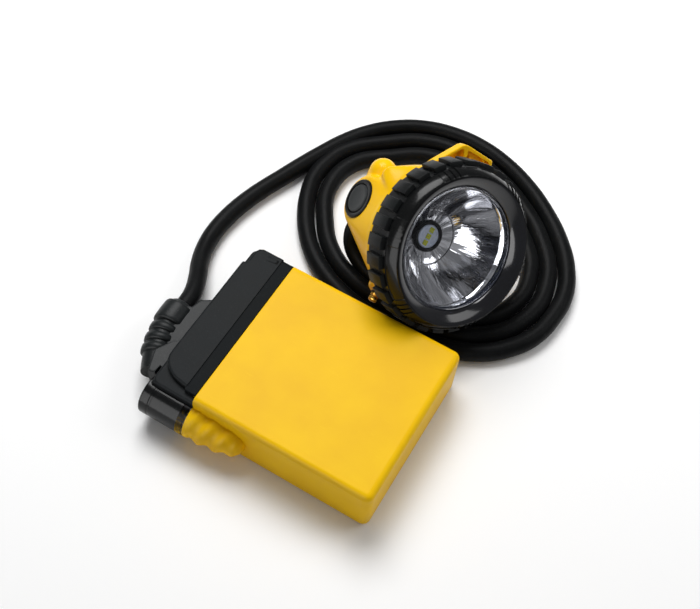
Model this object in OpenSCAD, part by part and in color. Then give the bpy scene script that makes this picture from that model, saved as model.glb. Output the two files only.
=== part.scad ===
// Miner's cap lamp: belt battery pack, cord and headpiece.
// Origin at the centre of the battery pack's resting face. +X runs from the
// pack's lid to its closed end, +Y from the pack towards the headpiece, +Z up.

/* [Battery pack] */
// Wall of the yellow case, mm
case_wall = 2.2; // [2:0.1:2.6]
// Wall of the black lid, mm
lid_wall = 2.4; // [2:0.1:2.8]
// Radius of one cell, mm
cell_r = 9.2; // [9:0.05:9.3]
// Radius of the lock screw's shank, mm
lock_screw_r = 2.2; // [1.8:0.1:2.4]

/* [Headpiece] */
// Number of grip blocks round the bezel
grip_count = 28; // [20:1:32]
// Clear radius of the lens opening, mm
window_r = 28.2; // [27:0.1:28.6]
// Travel of the switch button, mm
button_travel = 1.6; // [1:0.1:2]
// Radius of the hole in the helmet hook, mm
hook_hole_r = 1.6; // [1.2:0.1:2]

/* [Show] */
// Sub-part to show, or all of them

/* [Hidden] */

yellow = [0.95, 0.73, 0.08];
black = [0.10, 0.11, 0.12];
steel = [0.70, 0.70, 0.72];
brass = [0.78, 0.62, 0.25];
$fn = 64;

// the pack lies on its largest face: ends, half width and height
lid_end = -55;
seam = -33.2;
case_end = 55;
half_w = 41.7;
pack_h = 29.2;
edge_r = 2.6;
spigot_len = 5;
spigot_gap = 0.2;
seal_t = 1.2;

// the round boss along the pack's side at the lid
boss_y = -41.5;
boss_z = 13;
boss_r = 9.5;
boss_end = -57;

// cells stand side by side along X
cell_len = 65;
cell_x = -15.5;
cell_pitch = 18.7;
cell_z = 14.4;

// the boot sweeps from the lid's end face round to run along +Y
boot_z = 13;
boot_turn = [-18, -3];
boot_turn_r = 52;
boot_end = 3;
lead_y = -26;
cord_r = 4.5;

// the headpiece's own frame: its lens axis is +Z there, the switch is towards +X
head_centre = [32.3, 75.1, 51.1];
head_el = 34.3;
head_az = -26.6;
head_roll = 223.8;

// depths behind the lens plane
grip_front = -2.5;
grip_back = -16;
flange_back = -19;
body_end = -53.6;
switch_z = -37.3;
switch_y = -2;
switch_face = 36.2;

// the inlet tube below the knob at the back of the body
knob = [27.4, -18, -42];
inlet_end = [18.5, 8.7, -56.7];
inlet_dir = (inlet_end - knob) / norm(inlet_end - knob);

// the contact pin in the lug, and the hook's screws
pin_start = [13.5, 29, -24.1];
pin_tip = [16, 38, -22.1];
pin_dir = (pin_tip - pin_start) / norm(pin_tip - pin_start);
hook_screw_x = [-9.5, 2.5];

module at_head() {
  translate(head_centre) rotate([0, 90 - head_el, head_az]) rotate([0, 0, head_roll])
    children();
}

// a straight round bar between two points, r1 at the first and r2 at the second
module bar(p, q, r1, r2) {
  d = q - p;
  translate(p) rotate([0, acos(d[2] / norm(d)), atan2(d[1], d[0])])
    cylinder(h = norm(d), r1 = r1, r2 = r2);
}

module round_rect(w, h, r) {
  square([w - 2 * r, h], center = true);
  square([w, h - 2 * r], center = true);
  for (i = [-1, 1], j = [-1, 1])
    translate([i * (w / 2 - r), j * (h / 2 - r)]) circle(r = r);
}

// the pack's whole outer shape with all its edges rolled
module pack_shape() {
  l = case_end - lid_end;
  intersection() {
    translate([0, 0, pack_h / 2]) rotate([90, 0, 90])
      linear_extrude(l, center = true) round_rect(2 * half_w, pack_h, edge_r);
    linear_extrude(pack_h) round_rect(l, 2 * half_w, edge_r + 1);
    translate([0, 0, pack_h / 2]) rotate([90, 0, 0])
      linear_extrude(2 * half_w, center = true) round_rect(l, pack_h, edge_r);
  }
}

module box_between(x0, x1, hw, z0, z1) {
  translate([x0, -hw, z0]) cube([x1 - x0, 2 * hw, z1 - z0]);
}

module battery_case() {
  inner_w = half_w - case_wall;
  color(yellow) difference() {
    union() {
      intersection() {
        pack_shape();
        box_between(seam, case_end, half_w, 0, pack_h);
      }
      translate([seam, boss_y, boss_z]) rotate([0, 90, 0]) rotate_extrude()
        polygon([[0, 0], [boss_r, 0], [boss_r - 0.3, 6], [boss_r - 0.9, 14],
          [boss_r - 1.8, 20], [boss_r - 3.4, 24], [boss_r - 6, 26], [0, 26.8]]);
    }
    box_between(seam - 1, case_end - 2.5, inner_w, case_wall, pack_h - case_wall);
    translate([seam - 1, boss_y - 1, boss_z]) rotate([0, 90, 0])
      cylinder(h = 13, r = lock_screw_r);
  }
}

module battery_lid() {
  inner_w = half_w - lid_wall;
  sp_w = half_w - case_wall - spigot_gap;
  sp_z = case_wall + spigot_gap;
  color(black) difference() {
    union() {
      intersection() {
        pack_shape();
        box_between(lid_end, seam, half_w, 0, pack_h);
      }
      box_between(seam - 1, seam + spigot_len, sp_w, sp_z, pack_h - sp_z);
      translate([boss_end, boss_y, boss_z]) rotate([0, 90, 0])
        cylinder(h = seam - boss_end, r = boss_r);
    }
    box_between(lid_end + lid_wall, seam + spigot_len + 1, sp_w - 1.6, sp_z + 1.6,
      pack_h - sp_z - 1.6);
    // groove for the seal round the spigot
    difference() {
      box_between(seam + 2, seam + 2 + seal_t, half_w, 0, pack_h);
      box_between(seam, seam + 5, sp_w - 1, sp_z + 1, pack_h - sp_z - 1);
      box_between(lid_end, seam, half_w, 0, pack_h);
    }
    // rounded shoulder of the top plate at the boss corner
    difference() {
      translate([lid_end - 1, -half_w - 1, pack_h - 3]) cube([18, 16, 4]);
      translate([lid_end + 17, -half_w + 15, pack_h - 4]) cylinder(h = 6, r = 16.6);
    }
    // small step at the far corner
    translate([lid_end - 1, 31, pack_h - 6]) cube([3, 12, 7]);
    translate([boss_end - 1, boss_y - 1, boss_z]) rotate([0, 90, 0])
      cylinder(h = 30, r = lock_screw_r + 0.2);
    translate([boss_end - 1, boss_y - 1, boss_z]) rotate([0, 90, 0])
      cylinder(h = 6, r = 5);
    translate([lid_end - 1, lead_y, boot_z]) rotate([0, 90, 0]) cylinder(h = 5, r = 3.2);
    for (y = [24, 36]) translate([lid_end - 1, y, 14]) rotate([0, 90, 0])
      cylinder(h = 5, r = 1.2);
  }
}

module lid_seal() {
  sp_w = half_w - case_wall;
  color([0.25, 0.25, 0.27]) difference() {
    box_between(seam + 2, seam + 2 + seal_t, sp_w, case_wall, pack_h - case_wall);
    box_between(seam + 1, seam + 4, sp_w - 1.2, case_wall + 1.2, pack_h - case_wall - 1.2);
  }
}

module hex_screw(r, len, head_r, head_h) {
  difference() {
    union() {
      cylinder(h = head_h, r = head_r);
      cylinder(h = head_h + len, r = r);
    }
    translate([0, 0, -1]) cylinder(h = head_h * 0.6 + 1, r = head_r * 0.5, $fn = 6);
  }
}

// short screws that hold the lid's end face
module lid_screws() {
  color(steel) for (y = [24, 36])
    translate([lid_end - 0.8, y, 14]) rotate([0, 90, 0]) hex_screw(1.1, 1.4, 2.2, 0.8);
}

module lock_screw() {
  color(steel) translate([boss_end + 1.4, boss_y - 1, boss_z]) rotate([0, 90, 0])
    hex_screw(lock_screw_r - 0.1, 28, 4.6, 3.6);
}

module cells() {
  color([0.25, 0.45, 0.65]) for (i = [-1.5:1:1.5])
    translate([cell_x, i * cell_pitch, cell_z]) rotate([0, 90, 0]) {
      cylinder(h = cell_len - 0.8, r = cell_r);
      cylinder(h = cell_len, r = 3);
    }
}

module cell_cradle() {
  color([0.85, 0.85, 0.82]) for (x = [cell_x + 5, cell_x + 52]) difference() {
    box_between(x, x + 6, 39, 2.6, 26.2);
    for (i = [-1.5:1:1.5]) translate([x - 1, i * cell_pitch, cell_z]) rotate([0, 90, 0])
      cylinder(h = 8, r = cell_r + 0.1);
  }
}

module cell_straps() {
  color(steel) {
    translate([cell_x - 0.3, -34, cell_z - 3]) cube([0.3, 68, 6]);
    translate([cell_x + cell_len, -34, cell_z - 3]) cube([0.3, 68, 6]);
  }
}

module protection_board() {
  color([0.05, 0.35, 0.20]) translate([-21.6, -30, 5]) cube([1.6, 60, 18.5]);
}

module board_parts() {
  color([0.12, 0.12, 0.13]) {
    for (y = [-22:11:22]) translate([-23.4, y, 9]) cube([1.8, 5, 6]);
    for (y = [-16, 16]) translate([-24.4, y, 18]) cube([2.8, 6, 3]);
  }
}

module pack_leads() {
  color([0.70, 0.10, 0.08]) for (s = [-1, 1])
    translate([-44.5, lead_y + s * 1.6, boot_z]) rotate([0, 90, 0])
      cylinder(h = 22.9, r = 0.9, $fn = 24);
}

module cable_clamp() {
  color([0.15, 0.15, 0.16]) difference() {
    translate([-50, lead_y - 8, 6]) cube([6, 16, 16]);
    for (s = [-1, 1]) translate([-51, lead_y + s * 1.6, boot_z]) rotate([0, 90, 0])
      cylinder(h = 8, r = 1, $fn = 24);
    for (s = [-1, 1]) translate([-47, lead_y + s * 5.6, 5]) cylinder(h = 18, r = 1.2);
  }
}

// a stretch of the boot between two angles of its sweep
module boot_arc(a0, a1, r) {
  translate([boot_turn[0], boot_turn[1], boot_z]) rotate([0, 0, 180 + a0])
    rotate_extrude(angle = a1 - a0) translate([boot_turn_r, 0]) circle(r = r);
}

// moulded boot: a wedge on the lid, a ribbed neck, a collar and a flat web
module battery_boot() {
  ox = boot_turn[0] - boot_turn_r;
  oy = boot_turn[1];
  color(black) difference() {
    intersection() {
      union() {
        boot_arc(0, 34, 6.4);
        for (a = [9, 15, 21]) boot_arc(a, a + 4, 7.6);
        translate([ox + 0.1, oy - 5.5, boot_z]) rotate([-90, 0, 0]) cylinder(h = 9.5, r = 8.2);
        translate([ox, oy + 3.9, boot_z]) rotate([-90, 0, 0])
          cylinder(h = boot_end - oy - 3.9, r1 = 7.2, r2 = 6);
        translate([0, 0, 4]) linear_extrude(15)
          polygon([[-54, -31], [-60, -28], [-66, -14], [-68, -4], [-68, 2.4], [-64.8, 2.9],
            [-63.6, 8], [-61, 9.6], [-54, 14]]);
        translate([0, 0, 4]) linear_extrude(18)
          polygon([[-54, -31.8], [-57.3, -31.8], [-57.6, -35.6], [-60.8, -36.6], [-64.5, -26],
            [-60, -18], [-54, -15]]);
      }
      translate([lid_end - 40, -60, 0]) cube([40, 120, 30]);
    }
    translate([ox, oy - 1, boot_z]) rotate([-90, 0, 0]) cylinder(h = 40, r = 3.5);
    boot_arc(0, 31, 3.2);
    bar([-62.5, lead_y, boot_z], [-50, lead_y, boot_z], 3.2, 3.2);
  }
}

// the cord's centreline: out of the pack's boot, three turns inwards, up to the head
route = [
  [-70, 3, 13], [-70, 6.5, 13], [-71.4, 13, 12], [-75.4, 22, 9.5], [-80.4, 31, 6.9], [-84.2, 41, 5.1],
  [-85.9, 52, 4.5], [-85.5, 63, 4.5], [-83.4, 75.5, 4.5], [-80.2, 87, 4.5], [-76, 99, 4.5], [-71.5, 112, 4.5],
  [-66.5, 125, 4.5], [-61, 137.5, 4.5], [-53.5, 149.5, 4.5], [-43, 160.5, 4.5],
  [-29.5, 169, 4.5], [-14, 173.5, 4.5], [2, 174, 4.5], [18, 170.5, 4.5],
  [35, 163, 4.5], [50.5, 152.5, 4.5], [64, 140, 4.5], [73.5, 127, 4.5],
  [79, 112.5, 4.5], [79.5, 97, 4.5], [76.5, 82.5, 4.5], [69.5, 71, 4.5],
  [59.5, 61.5, 4.5], [46, 55, 4.5], [30, 51.5, 4.5], [14, 50.5, 4.5], [-2, 51.5, 4.5],
  [-15, 54.5, 4.5], [-27, 59.5, 4.5], [-37.5, 66.5, 4.5], [-46.5, 75.5, 4.5],
  [-53.5, 85.5, 4.5], [-59, 97, 4.5], [-62, 108, 4.5], [-61.5, 120, 4.5],
  [-57.5, 132, 4.5], [-42.5, 148, 4.5], [-24, 161, 4.5], [-2.5, 164.5, 4.5],
  [18.5, 160, 4.5], [37, 150.5, 4.5], [54.5, 136.5, 4.5], [68.5, 115, 4.5],
  [68.5, 88.5, 4.5], [52, 67.5, 4.5], [27.5, 60, 4.5], [6, 60.5, 4.5], [-13, 64, 4.5],
  [-30, 72.5, 4.5], [-43, 87, 4.5], [-52, 106, 4.5], [-49.5, 127, 4.5],
  [-35, 141.5, 4.5], [-19.5, 152.5, 4.5], [-1.5, 155, 4.5], [15.5, 151, 4.5],
  [30.5, 143.5, 4.5], [46, 132.5, 4.5], [59, 114.5, 4.5], [59.5, 91.5, 4.5],
  [44.5, 73.5, 4.5], [23, 68.5, 4.5], [11, 68.5, 4.5], [1, 69.5, 4.6],
  [-8, 71.2, 5.8], [-15.4, 73.4, 8.7], [-20.8, 75.9, 13.6], [-22.61, 78.48, 19.75],
  [-21.83, 80.83, 25.15]];
cord_sides = 10;
last = len(route) - 1;

function unit(v) = v / norm(v);
function heading(i) = unit(route[min(i + 1, last)] - route[max(i - 1, 0)]);
function across(i) = unit(cross(heading(i), [0.05, 0.02, 1]));
function ring(i) = [for (k = [0:cord_sides - 1])
  let (u = across(i), v = cross(heading(i), u), a = 360 * k / cord_sides)
  route[i] + cord_r * (cos(a) * u + sin(a) * v)];

module cord() {
  pts = [for (i = [0:last]) each ring(i)];
  n = cord_sides;
  sides = [for (i = [0:last - 1], k = [0:n - 1])
    [i * n + k, (i + 1) * n + k, (i + 1) * n + (k + 1) % n, i * n + (k + 1) % n]];
  ends = [[for (k = [0:n - 1]) k], [for (k = [n - 1:-1:0]) last * n + k]];
  color([0.06, 0.06, 0.07]) polyhedron(points = pts, faces = concat(sides, ends));
}

module head_boot() {
  e = inlet_end;
  d = inlet_dir;
  color(black) at_head() difference() {
    union() {
      bar(e - 18 * d, e - 9.9 * d, 4.95, 4.95);
      bar(e - 10 * d, e - 7 * d, 6.4, 6.4);
      bar(e - 7.1 * d, e, 6, 5.2);
    }
    bar(e - 19 * d, e + d, 3, 3);
  }
}

module body_profile() {
  polygon([[0, body_end], [5, -53.3], [11.5, -51.5], [17, -47.5], [21.4, -42],
    [25.2, -36.5], [28.6, -31.5], [31.5, -27], [34.6, -22.5], [37.2, flange_back],
    [37.2, grip_back - 0.2], [34.4, grip_back - 0.2], [34.4, -6.6], [31, -6.6],
    [31, -18], [29.2, -24.5], [26.2, -29.5], [22.8, -34.5], [19, -40], [15.2, -44.8],
    [10.8, -48.6], [5, -50.6], [0, -50.8]]);
}

module lamp_body() {
  color(yellow) at_head() difference() {
    union() {
      rotate_extrude() body_profile();
      // switch boss
      difference() {
        bar([16, switch_y, switch_z], [switch_face, switch_y, switch_z], 16, 11.2);
        translate([0, 0, body_end]) cylinder(h = 40, r1 = 8, r2 = 33);
      }
      // knob over the cord inlet and its web to the bowl
      translate(knob) sphere(r = 6.6);
      difference() {
        bar([12, -6, -38], knob, 12, 6.5);
        translate([0, 0, body_end]) cylinder(h = 40, r1 = 8, r2 = 33);
      }
      bar(knob, inlet_end - 9.5 * inlet_dir, 6.5, 6.5);
      // lug for the contact pin
      bar([10, 22, -26], [15.5, 33, -23], 7, 5);
      // pads under the helmet hook
      for (x = hook_screw_x) bar([x, -26, -26], [x, -33.4, -26], 5, 5);
    }
    translate([0, 0, grip_back - 10]) cylinder(h = 30, r = 30.6);
    translate([0, 0, -42]) cylinder(h = 20, r1 = 16, r2 = 29);
    bar([10, switch_y, switch_z], [switch_face + 1, switch_y, switch_z], 7.2, 7.2);
    bar([switch_face - 3, switch_y, switch_z], [switch_face + 1, switch_y, switch_z], 9.5, 9.5);
    bar(inlet_end - 19 * inlet_dir, inlet_end - 9 * inlet_dir, 5, 5);
    bar(inlet_end - 10 * inlet_dir, inlet_end + 2 * inlet_dir, 7.2, 7.2);
    for (x = hook_screw_x) bar([x, -31, -26], [x, -34, -26], 1.2, 1.2);
    bar(pin_start, pin_start + 6 * pin_dir, 1.9, 1.9);
  }
}

module bezel_ring() {
  color(black) at_head() difference() {
    union() {
      rotate_extrude() polygon([[28, 0.3], [30, 1.9], [32, 3.2], [33.8, 4], [34.8, 4],
        [36.6, 2.2], [37.8, -0.4], [38.4, grip_front - 0.5], [38.6, grip_back + 1],
        [38.2, grip_back], [28, grip_back]]);
      for (i = [0:grip_count - 1]) rotate([0, 0, (i + 0.5) * 360 / grip_count])
        translate([37, -3, grip_front - 11]) cube([3.4, 6, 11]);
    }
    translate([0, 0, -40]) cylinder(h = 50, r = window_r);
    translate([0, 0, -40]) cylinder(h = 39.6, r = 30.8);
    translate([0, 0, -40]) cylinder(h = 33.8, r = 34.6);
    rotate([0, 0, 118]) translate([0, 0, -11]) rotate([0, 90, 0]) cylinder(h = 60, r = 1.3);
  }
}

module lens() {
  color([0.85, 0.90, 0.95, 0.35]) at_head() translate([0, 0, -3.4])
    cylinder(h = 2.9, r = 30.6);
}

module lens_seal() {
  color([0.2, 0.2, 0.22]) at_head() translate([0, 0, -4.4]) difference() {
    cylinder(h = 0.9, r = 30.6);
    translate([0, 0, -1]) cylinder(h = 3, r = window_r + 0.4);
  }
}

// a paraboloid shell that opens to the window and sits on the light source's board
module reflector() {
  neck_r = 6.2;
  neck_z = -26.2;
  top_z = -5.2;
  top_r = 27.6;
  function bowl(z) = neck_r + (top_r - neck_r) * sqrt((z - neck_z) / (top_z - neck_z));
  inside = [for (i = [0:12]) let (u = i / 12, z = neck_z + (top_z - neck_z) * u * u)
    [bowl(z), z]];
  outside = [for (i = [12:-1:0]) let (p = inside[i]) [p[0] + 0.9, p[1] - 0.4]];
  color([0.9, 0.9, 0.92]) at_head() {
    rotate_extrude() polygon(concat(inside, [[30.4, top_z + 0.7], [30.4, top_z - 0.7]], outside));
  }
}

module led_board() {
  color([0.85, 0.87, 0.85]) at_head() translate([0, 0, -28.4]) cylinder(h = 1.6, r = 10);
}

module led_package() {
  color([0.92, 0.94, 0.97]) at_head() translate([0, 0, -26.8]) cylinder(h = 1.4, r = 5.6);
}

module led_dies() {
  color([0.85, 0.85, 0.35]) at_head() for (i = [-1, 0, 1])
    rotate([0, 0, -4]) translate([-1.2, i * 3.3 - 1.2, -25.4]) cube([2.4, 2.4, 0.3]);
}

module heat_sink() {
  color([0.72, 0.73, 0.75]) at_head() {
    translate([0, 0, -31.4]) cylinder(h = 3, r = 22);
    for (i = [0:7]) rotate([0, 0, i * 45]) translate([8, -0.6, -34.4]) cube([9, 1.2, 3.2]);
  }
}

module driver_board() {
  color([0.05, 0.35, 0.20]) at_head() translate([0, 0, -37]) cylinder(h = 1.6, r = 17);
}

module driver_parts() {
  color([0.12, 0.12, 0.13]) at_head() {
    translate([-3, -9, -40]) cube([6, 5, 3]);
    translate([-10, 2, -39.4]) cube([5, 6, 2.4]);
    translate([0, 8, -41]) cylinder(h = 4, r = 2.6);
  }
}

// the two leads of the cord inside the knob and bowl
module head_leads() {
  color([0.70, 0.10, 0.08]) at_head() for (s = [-1, 1])
    bar([s * 1.6 + 6, 9, -41.5], [s * 1.6 + 6, 9, -37], 0.8, 0.8);
}

module micro_switch() {
  color([0.2, 0.2, 0.22]) at_head() translate([20.5, switch_y - 4, switch_z - 4])
    cube([4.5, 8, 8]);
}

module switch_ring() {
  color(black) at_head() difference() {
    bar([switch_face - 2.9, switch_y, switch_z], [switch_face + 0.8, switch_y, switch_z],
      9.4, 9.2);
    bar([switch_face - 4, switch_y, switch_z], [switch_face + 2, switch_y, switch_z],
      7.1, 7.1);
  }
}

module switch_button() {
  color(black) at_head() {
    bar([switch_face - 3, switch_y, switch_z], [switch_face + 1.2, switch_y, switch_z],
      6.9, 6.6);
    bar([switch_face - 8.2, switch_y, switch_z], [switch_face - 3, switch_y, switch_z],
      1.6, 1.6);
  }
}

module switch_spring() {
  color(steel) at_head() for (i = [0:3])
    translate([switch_face - 10 + i * 1.9, switch_y, switch_z]) rotate([0, 90, 0])
      rotate_extrude() translate([3.2, 0]) circle(r = 0.35, $fn = 16);
}

// the bracket that slides into a helmet's lamp holder
module helmet_hook() {
  color(yellow) at_head() difference() {
    union() {
      // front plate
      translate([0, 0, -24.5]) linear_extrude(4.5)
        polygon([[20.5, -29.1], [6.7, -45.2], [-11.2, -44.2], [-12.7, -39.5],
          [-12.5, -33.6], [15, -33.6]]);
      // block behind it that takes the screws
      translate([-12.2, -44.2, -29]) cube([17.6, 10.6, 5]);
      // tongue towards the back
      translate([-14.4, -45, -42]) cube([9.4, 2.8, 18]);
    }
    translate([0, 0, -22]) linear_extrude(5)
      polygon([[5.4, -43.4], [-9.8, -42.8], [-11, -39.6], [-11, -37], [2.6, -37]]);
    translate([0, 0, -23]) linear_extrude(5)
      polygon([[17.4, -31.4], [7.4, -43], [4.4, -37.6], [12, -32.4]]);
    translate([2.4, -40.5, -23.3]) cylinder(h = 4, r = hook_hole_r);
    translate([0, 0, -29.5]) cylinder(h = 10, r1 = 31.2, r2 = 37.6);
    for (x = hook_screw_x) bar([x, -32, -26], [x, -46.4, -26], 1.3, 1.3);
    for (x = hook_screw_x) bar([x, -41, -26], [x, -46.4, -26], 2.5, 2.5);
  }
}

module hook_screws() {
  color(steel) at_head() for (x = hook_screw_x) {
    bar([x, -31.4, -26], [x, -41, -26], 1.1, 1.1);
    bar([x, -41, -26], [x, -42.6, -26], 2.3, 2.3);
  }
}

module pin_insulator() {
  color(black) at_head() difference() {
    bar(pin_start, pin_start + 5.4 * pin_dir, 1.85, 1.85);
    bar(pin_start - pin_dir, pin_start + 7 * pin_dir, 1.25, 1.25);
  }
}

module contact_pin() {
  color(brass) at_head() {
    bar(pin_start, pin_tip, 1.2, 1.2);
    bar(pin_start + 5.6 * pin_dir, pin_tip, 2.3, 1.9);
  }
}

module bezel_lock_screw() {
  color(steel) at_head() rotate([0, 0, 118]) translate([37.6, 0, -11]) rotate([0, -90, 0])
    hex_screw(1.2, 2, 1.25, 0.6);
}

battery_case();
battery_lid();
lid_seal();
lid_screws();
lock_screw();
cells();
cell_cradle();
cell_straps();
protection_board();
board_parts();
pack_leads();
cable_clamp();
battery_boot();
cord();
head_boot();
lamp_body();
bezel_ring();
lens();
lens_seal();
reflector();
led_board();
led_package();
led_dies();
heat_sink();
driver_board();
driver_parts();
head_leads();
micro_switch();
switch_ring();
switch_button();
switch_spring();
helmet_hook();
hook_screws();
pin_insulator();
contact_pin();
bezel_lock_screw();
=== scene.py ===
import math
import bmesh
import bpy
from mathutils import Matrix, Vector


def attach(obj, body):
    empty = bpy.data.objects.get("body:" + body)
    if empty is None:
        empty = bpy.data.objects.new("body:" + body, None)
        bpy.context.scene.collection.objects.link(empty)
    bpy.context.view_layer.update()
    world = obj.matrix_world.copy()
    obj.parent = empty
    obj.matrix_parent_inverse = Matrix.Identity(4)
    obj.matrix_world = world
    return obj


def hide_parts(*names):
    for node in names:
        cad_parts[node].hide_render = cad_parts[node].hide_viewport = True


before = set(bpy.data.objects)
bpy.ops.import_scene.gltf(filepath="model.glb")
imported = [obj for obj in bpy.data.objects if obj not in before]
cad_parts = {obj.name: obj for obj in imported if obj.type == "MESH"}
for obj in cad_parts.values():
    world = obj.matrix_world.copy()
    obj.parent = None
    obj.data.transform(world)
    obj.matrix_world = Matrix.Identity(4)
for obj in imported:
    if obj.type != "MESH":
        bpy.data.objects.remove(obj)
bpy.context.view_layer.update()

MM = 0.001
# where the camera stands, in metres, and the three directions of its own axes
CAMERA_AT = (0.11187, -0.20457, 0.45027)
CAMERA_RIGHT = (0.86159, 0.50419, 0.05878)
CAMERA_UP = (-0.45466, 0.71504, 0.53105)
CAMERA_BACK = (0.22572, -0.48427, 0.84530)
CAMERA_LENS = 56.29
CORD_R = 4.5
# the cord's middle line, from the pack's boot through its turns to the headpiece
ROUTE = (
    (-70, 3, 13), (-70, 6.5, 13), (-71.4, 13, 12), (-75.4, 22, 9.5), (-80.4, 31, 6.9),
    (-84.2, 41, 5.1), (-85.9, 52, 4.5), (-85.5, 63, 4.5), (-83.4, 75.5, 4.5),
    (-80.2, 87, 4.5), (-76, 99, 4.5), (-71.5, 112, 4.5),
    (-66.5, 125, 4.5), (-61, 137.5, 4.5), (-53.5, 149.5, 4.5), (-43, 160.5, 4.5),
    (-29.5, 169, 4.5), (-14, 173.5, 4.5), (2, 174, 4.5), (18, 170.5, 4.5),
    (35, 163, 4.5), (50.5, 152.5, 4.5), (64, 140, 4.5), (73.5, 127, 4.5),
    (79, 112.5, 4.5), (79.5, 97, 4.5), (76.5, 82.5, 4.5), (69.5, 71, 4.5),
    (59.5, 61.5, 4.5), (46, 55, 4.5), (30, 51.5, 4.5), (14, 50.5, 4.5), (-2, 51.5, 4.5),
    (-15, 54.5, 4.5), (-27, 59.5, 4.5), (-37.5, 66.5, 4.5), (-46.5, 75.5, 4.5),
    (-53.5, 85.5, 4.5), (-59, 97, 4.5), (-62, 108, 4.5), (-61.5, 120, 4.5),
    (-57.5, 132, 4.5), (-42.5, 148, 4.5), (-24, 161, 4.5), (-2.5, 164.5, 4.5),
    (18.5, 160, 4.5), (37, 150.5, 4.5), (54.5, 136.5, 4.5), (68.5, 115, 4.5),
    (68.5, 88.5, 4.5), (52, 67.5, 4.5), (27.5, 60, 4.5), (6, 60.5, 4.5), (-13, 64, 4.5),
    (-30, 72.5, 4.5), (-43, 87, 4.5), (-52, 106, 4.5), (-49.5, 127, 4.5),
    (-35, 141.5, 4.5), (-19.5, 152.5, 4.5), (-1.5, 155, 4.5), (15.5, 151, 4.5),
    (30.5, 143.5, 4.5), (46, 132.5, 4.5), (59, 114.5, 4.5), (59.5, 91.5, 4.5),
    (44.5, 73.5, 4.5), (23, 68.5, 4.5), (11, 68.5, 4.5), (1, 69.5, 4.6),
    (-8, 71.2, 5.8), (-15.4, 73.4, 8.7), (-20.8, 75.9, 13.6), (-22.61, 78.48, 19.75),
    (-21.83, 80.83, 25.15),
)
# the headpiece's own frame: +Z out of the lens, +X to the switch
HEAD = (Matrix.Translation(Vector((32.3, 75.1, 51.1)))
        @ Matrix.Rotation(math.radians(-26.6), 4, "Z")
        @ Matrix.Rotation(math.radians(55.7), 4, "Y")
        @ Matrix.Rotation(math.radians(223.8), 4, "Z"))
HERE = Matrix.Identity(4)
# places on the headpiece, in its own frame
KNOB = Vector((27.4, -18, -42))
INLET_END = Vector((18.5, 8.7, -56.7))
INLET = (INLET_END - KNOB).normalized()
SWITCH = Vector((36.2, -2, -37.3))
PIN_START = Vector((13.5, 29, -24.1))
PIN_TIP = Vector((16, 38, -22.1))
HOOK_SCREWS = (-9.5, 2.5)
DIE_TURN = -4
DIE_PITCH = 3.3
# places on the pack
SEAM = -33.2
HALF_WIDTH = 41.7
LOCK_Y = -41.5
LOCK_Z = 13
BOOT_BEND = 52
# the widest plain face that keeps its smooth shading, and the border that wider ones get
BIG_FACE = 40
BORDER = 0.35
WELD = 1e-4


# ---- shader maths ----------------------------------------------------------

class Wire:
    """One output socket, with arithmetic that adds Math nodes."""

    def __init__(self, tree, socket):
        self.tree = tree
        self.socket = socket

    def node(self, kind, settings=None, out=0, **values):
        """Adds a node; i0, i1 and so on are sockets by number, other words by name."""
        made = self.tree.nodes.new(kind)
        for key, value in (settings or {}).items():
            setattr(made, key, value)
        for key, value in values.items():
            plug = made.inputs[int(key[1:])] if key[0] == "i" and key[1:].isdigit() \
                else made.inputs[key.replace("_", " ")]
            if isinstance(value, Wire):
                self.tree.links.new(value.socket, plug)
            else:
                plug.default_value = value
        return Wire(self.tree, made.outputs[out])

    def math(self, operation, a, b=0.0):
        return self.node("ShaderNodeMath", {"operation": operation}, i0=a, i1=b)

    def vector(self, operation, other, out=0):
        return self.node("ShaderNodeVectorMath", {"operation": operation}, out=out,
                         i0=self, i1=other)

    def __add__(self, other):
        return self.math("ADD", self, other)

    __radd__ = __add__

    def __mul__(self, other):
        return self.math("MULTIPLY", self, other)

    __rmul__ = __mul__

    def clamp(self, low, high):
        """Stretches low to high over 0 to 1 and cuts off what lies outside."""
        return self.node("ShaderNodeMapRange", {"clamp": True}, Value=self, From_Min=low,
                         From_Max=high, To_Min=0.0, To_Max=1.0)

    def mix(self, first, second):
        """Colours first to second as this value goes from 0 to 1."""
        return self.node("ShaderNodeMix", {"data_type": "RGBA"}, out=2,
                         i0=self, i6=first, i7=second)

    def noise(self, scale, detail=3.0, rough=0.5):
        return self.node("ShaderNodeTexNoise", Vector=self, Scale=scale, Detail=detail,
                         Roughness=rough)

    def stretched(self, x, y, z):
        return self.node("ShaderNodeMapping", Vector=self, Scale=(x, y, z))

    def bump(self, distance, strength=1.0):
        return self.node("ShaderNodeBump", Height=self, Distance=distance,
                         Strength=strength)


def linear(red, green, blue):
    """A colour given as it looks, 0 to 255, in the shader's own scale."""
    def one(value):
        value /= 255
        return value / 12.92 if value <= 0.04045 else ((value + 0.055) / 1.055) ** 2.4
    return (one(red), one(green), one(blue), 1)


class Finish:
    """A material with its principled shader and its object coordinates."""

    def __init__(self, name, **fixed):
        self.material = bpy.data.materials.new(name)
        self.material.use_nodes = True
        self.tree = self.material.node_tree
        self.shader = self.tree.nodes["Principled BSDF"]
        start = Wire(self.tree, None)
        self.place = start.node("ShaderNodeTexCoord", out=3)
        for key, value in fixed.items():
            self.shader.inputs[key.replace("_", " ")].default_value = value

    def feed(self, **wires):
        for key, wire in wires.items():
            self.tree.links.new(wire.socket, self.shader.inputs[key.replace("_", " ")])
        return self.material


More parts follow.
